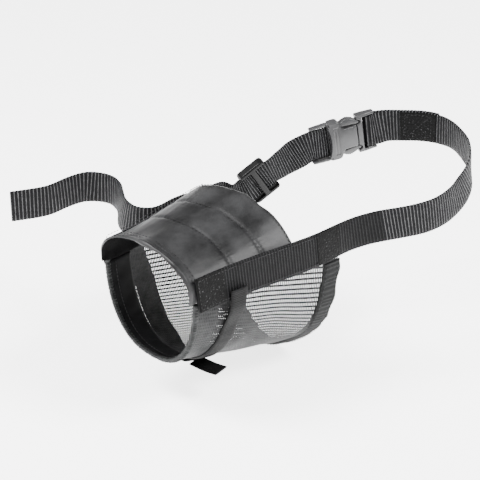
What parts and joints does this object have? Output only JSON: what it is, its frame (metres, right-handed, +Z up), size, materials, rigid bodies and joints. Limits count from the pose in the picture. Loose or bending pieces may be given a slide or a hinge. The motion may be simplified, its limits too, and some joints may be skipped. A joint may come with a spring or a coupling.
{
  "type": "soft net dog muzzle",
  "caption": "Soft net dog muzzle with a padded satin top panel, nylon webbing neck loop, side-release buckle, strap slider and chin strap.",
  "frame": {"origin": "middle of the nose opening, carried back along X to the plane of the rear edge at the side straps", "axes": "+X backwards towards the head, +Y to the far side, which carries the slider and loose strap end, +Z up through the padded top panel"},
  "size_m": [0.2106, 0.2067, 0.1264],
  "materials": {
    "satin_cover": "woven satin nylon, soft sheen",
    "satin_lining": "satin lining",
    "foam": "soft foam padding",
    "thread": "polyester thread",
    "net": "open nylon net",
    "binding": "ribbed polyester tape",
    "webbing": "ribbed nylon webbing",
    "webbing_narrow": "narrow nylon webbing",
    "hook_and_loop": "hook-and-loop tape",
    "buckle_plastic": "moulded acetal, semi-gloss",
    "slider_plastic": "moulded plastic, satin"
  },
  "bodies": {
    "muzzle": {"top_panel_cover": "satin_cover", "top_panel_foam": "foam", "top_panel_lining": "satin_lining", "panel_front_hem": "satin_cover", "panel_rear_hem": "satin_cover", "panel_seam_1": "thread", "panel_seam_2": "thread", "nose_band_outer": "net", "nose_band_lining": "satin_lining", "front_binding": "binding", "net_body": "net", "rear_binding_outer": "binding", "rear_binding_lining": "binding", "near_side_strap": "webbing", "far_side_strap": "webbing", "chin_strap_near": "webbing_narrow", "chin_strap_far": "webbing_narrow", "hook_patch": "hook_and_loop", "loop_patch": "hook_and_loop"},
    "neck_loop": {"near_neck_strap": "webbing", "far_neck_strap": "webbing", "buckle_socket": "buckle_plastic"},
    "plug_half": {"near_loop_strap": "webbing", "plug_strap_fold": "webbing", "buckle_plug": "buckle_plastic"},
    "latch_upper": {"latch_arm_upper": "buckle_plastic"},
    "latch_lower": {"latch_arm_lower": "buckle_plastic"},
    "strap_slider": {"slider": "slider_plastic"},
    "loose_end": {"strap_tail": "webbing"},
    "chin_tab": {"chin_strap_tab": "webbing_narrow"}
  },
  "joints": [
    {"name": "neck_loop_tilt", "type": "hinge", "parent": "muzzle", "child": "neck_loop", "pos_m": [-0.006, 0, 0.0187], "axis": [0, 1, 0], "range_deg": [-35, 12]},
    {"name": "buckle_release", "type": "slide", "parent": "neck_loop", "child": "plug_half", "axis": [0.8992, -0.4142, 0.1412], "range_m": [0, 0.022]},
    {"name": "latch_upper_squeeze", "type": "hinge", "parent": "plug_half", "child": "latch_upper", "pos_m": [0.06678, 0.00344, 0.0538], "axis": [-0.4184, -0.9083, 0], "range_deg": [0, 6], "stiffness_Nm_per_rad": 0.05},
    {"name": "latch_lower_squeeze", "type": "hinge", "parent": "plug_half", "child": "latch_lower", "pos_m": [0.06899, 0.00242, 0.03677], "axis": [0.4184, 0.9083, 0], "range_deg": [0, 6], "stiffness_Nm_per_rad": 0.05},
    {"name": "slider_adjust", "type": "slide", "parent": "neck_loop", "child": "strap_slider", "axis": [0.7664, -0.3362, 0.5473], "range_m": [0, 0.002]},
    {"name": "loose_end_swing", "type": "hinge", "parent": "neck_loop", "child": "loose_end", "pos_m": [-0.001, 0.043, 0.0186], "axis": [0, 0, -1], "range_deg": [0, 35]},
    {"name": "chin_tab_peel", "type": "hinge", "parent": "muzzle", "child": "chin_tab", "pos_m": [-0.0785, -0.00868, -0.04675], "axis": [1, 0, 0], "range_deg": [0, 60]}
  ]
}
